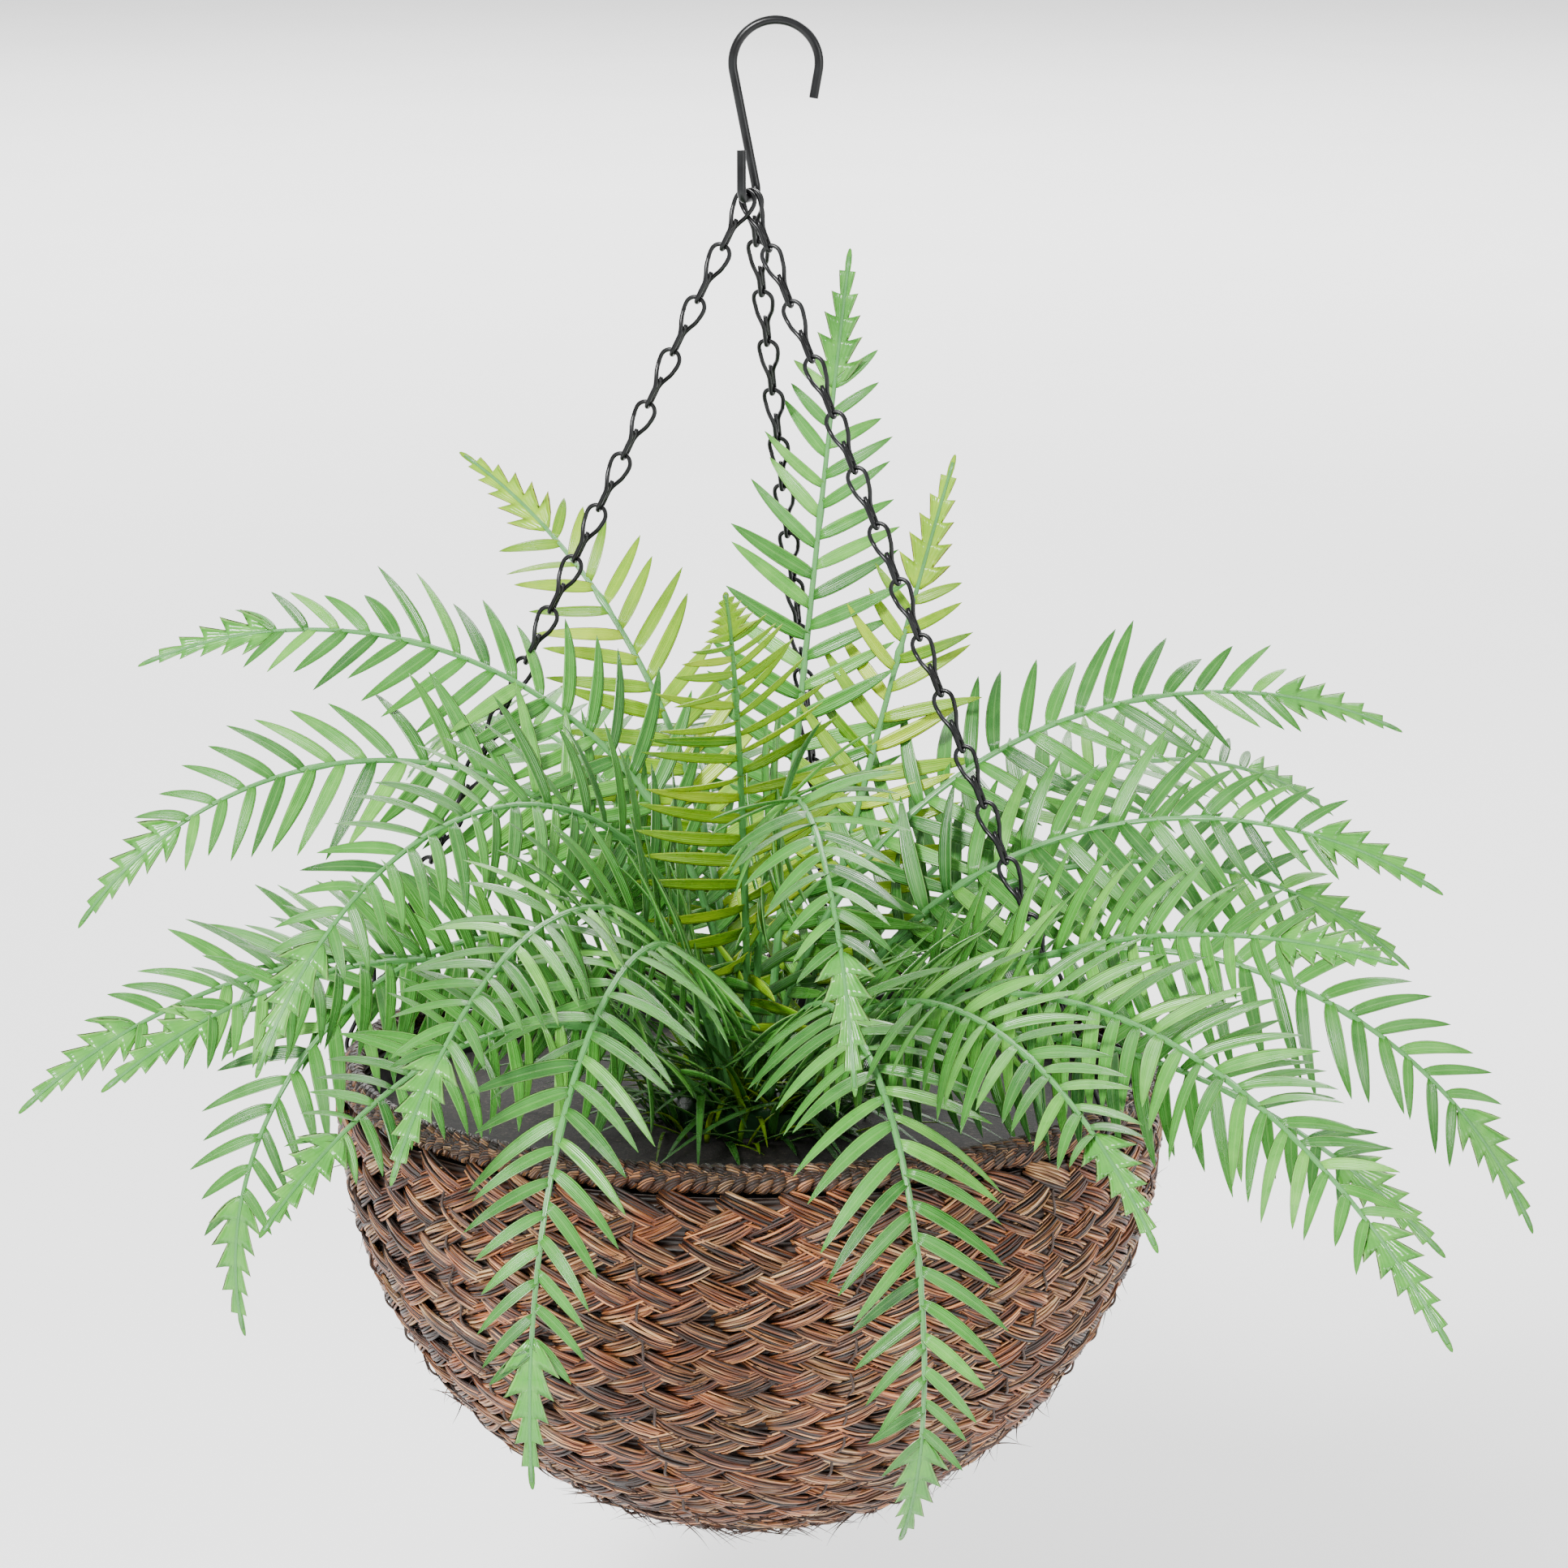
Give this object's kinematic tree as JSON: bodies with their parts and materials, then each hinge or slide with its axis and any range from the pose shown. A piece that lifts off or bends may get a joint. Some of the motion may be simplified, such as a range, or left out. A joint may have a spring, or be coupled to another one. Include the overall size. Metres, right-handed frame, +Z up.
{
  "type": "hanging basket",
  "caption": "Hanging basket: bowl of sewn plait rows on a wire frame, hung on link chains from a steel hook, planted with a moulded fern.",
  "frame": {"origin": "inside top of the hook's crook, where the basket hangs on its bracket", "axes": "+Z up; +Y away from the onlooker; +X to the onlooker's right, in the plane of the crook"},
  "size_m": [0.5113, 0.5699, 0.541],
  "materials": {
    "hook_steel": "black paint on drawn steel rod",
    "chain_steel": "black paint on formed wire links",
    "rush_plait": "three-strand rush plait, stained brown, satin",
    "rush_rope": "twisted rush whipping, dark brown",
    "frame_wire": "black coated frame wire",
    "thread": "waxed dark sewing thread",
    "liner_film": "black polyethylene film",
    "foam": "dark speckled expanded foam",
    "crown_plastic": "moulded polyethylene",
    "grass_plastic": "moulded polyethylene blades",
    "fern_green": "moulded polyethylene leaf, satin",
    "fern_yellow": "moulded polyethylene leaf, yellow-green, satin"
  },
  "bodies": {
    "hook": {"hook": "hook_steel"},
    "chain_left_upper": {"chain_left_upper": "chain_steel"},
    "chain_left_middle": {"chain_left_middle": "chain_steel"},
    "chain_left_lower": {"chain_left_lower": "chain_steel"},
    "rim_hook_left": {"rim_hook_left": "chain_steel"},
    "chain_right_upper": {"chain_right_upper": "chain_steel"},
    "chain_right_middle": {"chain_right_middle": "chain_steel"},
    "chain_right_lower": {"chain_right_lower": "chain_steel"},
    "rim_hook_right": {"rim_hook_right": "chain_steel"},
    "chain_back_upper": {"chain_back_upper": "chain_steel"},
    "chain_back_middle": {"chain_back_middle": "chain_steel"},
    "chain_back_lower": {"chain_back_lower": "chain_steel"},
    "rim_hook_back": {"rim_hook_back": "chain_steel"},
    "basket": {"base_coil": "rush_plait", "base_hoop": "frame_wire", "fern_crown": "crown_plastic", "foam_base": "foam", "frame_ribs": "frame_wire", "frond_01": "fern_green", "frond_02": "fern_green", "frond_03": "fern_green", "frond_04": "fern_green", "frond_05": "fern_green", "frond_06": "fern_green", "frond_07": "fern_green", "frond_08": "fern_yellow", "frond_09": "fern_green", "frond_10": "fern_green", "frond_11": "fern_green", "frond_12": "fern_green", "frond_13": "fern_yellow", "frond_14": "fern_green", "frond_15": "fern_green", "frond_16": "fern_green", "frond_17": "fern_green", "frond_18": "fern_green", "frond_19": "fern_green", "frond_20": "fern_green", "frond_21": "fern_green", "frond_22": "fern_green", "frond_23": "fern_yellow", "frond_24": "fern_green", "frond_25": "fern_green", "frond_26": "fern_green", "grass_blades": "grass_plastic", "liner": "liner_film", "middle_hoop": "frame_wire", "plait_row_01": "rush_plait", "plait_row_02": "rush_plait", "plait_row_03": "rush_plait", "plait_row_04": "rush_plait", "plait_row_05": "rush_plait", "plait_row_06": "rush_plait", "plait_row_07": "rush_plait", "plait_row_08": "rush_plait", "plait_row_09": "rush_plait", "rim_hoop": "frame_wire", "rim_rope": "rush_rope", "sewing_thread": "thread"}
  },
  "joints": [
    {"name": "swing", "type": "hinge", "parent": "hook", "child": "basket", "pos_m": [-0.00907, -0.00752, -0.0588], "axis": [0.342, 0.9397, 0], "range_deg": [-30, 30]},
    {"name": "hub_left", "type": "hinge", "parent": "hook", "child": "chain_left_upper", "pos_m": [-0.00907, -0.00752, -0.0588], "axis": [0.342, 0.9397, 0], "range_deg": [-30, 30]},
    {"name": "fold_left_middle", "type": "hinge", "parent": "chain_left_upper", "child": "chain_left_middle", "pos_m": [-0.05365, -0.002, -0.1509], "axis": [0.315, 0.9473, -0.0589], "range_deg": [0, 50]},
    {"name": "fold_left_lower", "type": "hinge", "parent": "chain_left_middle", "child": "chain_left_lower", "pos_m": [-0.09741, 0.00678, -0.24373], "axis": [0.315, 0.9473, -0.0589], "range_deg": [0, 50]},
    {"name": "unhook_left", "type": "hinge", "parent": "chain_left_lower", "child": "rim_hook_left", "pos_m": [-0.14117, 0.01556, -0.33656], "axis": [0.315, 0.9473, -0.0589], "range_deg": [0, 60]},
    {"name": "hub_right", "type": "hinge", "parent": "hook", "child": "chain_right_upper", "pos_m": [-0.00907, -0.00752, -0.0588], "axis": [0.342, 0.9397, 0], "range_deg": [-30, 30]},
    {"name": "fold_right_middle", "type": "hinge", "parent": "chain_right_upper", "child": "chain_right_middle", "pos_m": [0.02738, -0.03313, -0.15085], "axis": [-0.3825, -0.9189, 0.0967], "range_deg": [0, 50]},
    {"name": "fold_right_lower", "type": "hinge", "parent": "chain_right_middle", "child": "chain_right_lower", "pos_m": [0.06435, -0.05829, -0.24363], "axis": [-0.3825, -0.9189, 0.0967], "range_deg": [0, 50]},
    {"name": "unhook_right", "type": "hinge", "parent": "chain_right_lower", "child": "rim_hook_right", "pos_m": [0.10133, -0.08345, -0.33642], "axis": [-0.3825, -0.9189, 0.0967], "range_deg": [0, 60]},
    {"name": "hub_back", "type": "hinge", "parent": "hook", "child": "chain_back_upper", "pos_m": [-0.00907, -0.00752, -0.0588], "axis": [0.342, 0.9397, 0], "range_deg": [-30, 30]},
    {"name": "fold_back_middle", "type": "hinge", "parent": "chain_back_upper", "child": "chain_back_middle", "pos_m": [0.00061, 0.03688, -0.14934], "axis": [0.9376, -0.3412, -0.0671], "range_deg": [0, 50]},
    {"name": "fold_back_lower", "type": "hinge", "parent": "chain_back_middle", "child": "chain_back_lower", "pos_m": [0.00969, 0.0801, -0.24239], "axis": [0.9376, -0.3412, -0.0671], "range_deg": [0, 50]},
    {"name": "unhook_back", "type": "hinge", "parent": "chain_back_lower", "child": "rim_hook_back", "pos_m": [0.01876, 0.12331, -0.33545], "axis": [0.9376, -0.3412, -0.0671], "range_deg": [0, 60]}
  ],
  "couplings": [
    {"joint": "hub_left", "follows": "swing", "ratio": 1},
    {"joint": "hub_right", "follows": "swing", "ratio": 1},
    {"joint": "hub_back", "follows": "swing", "ratio": 1}
  ]
}
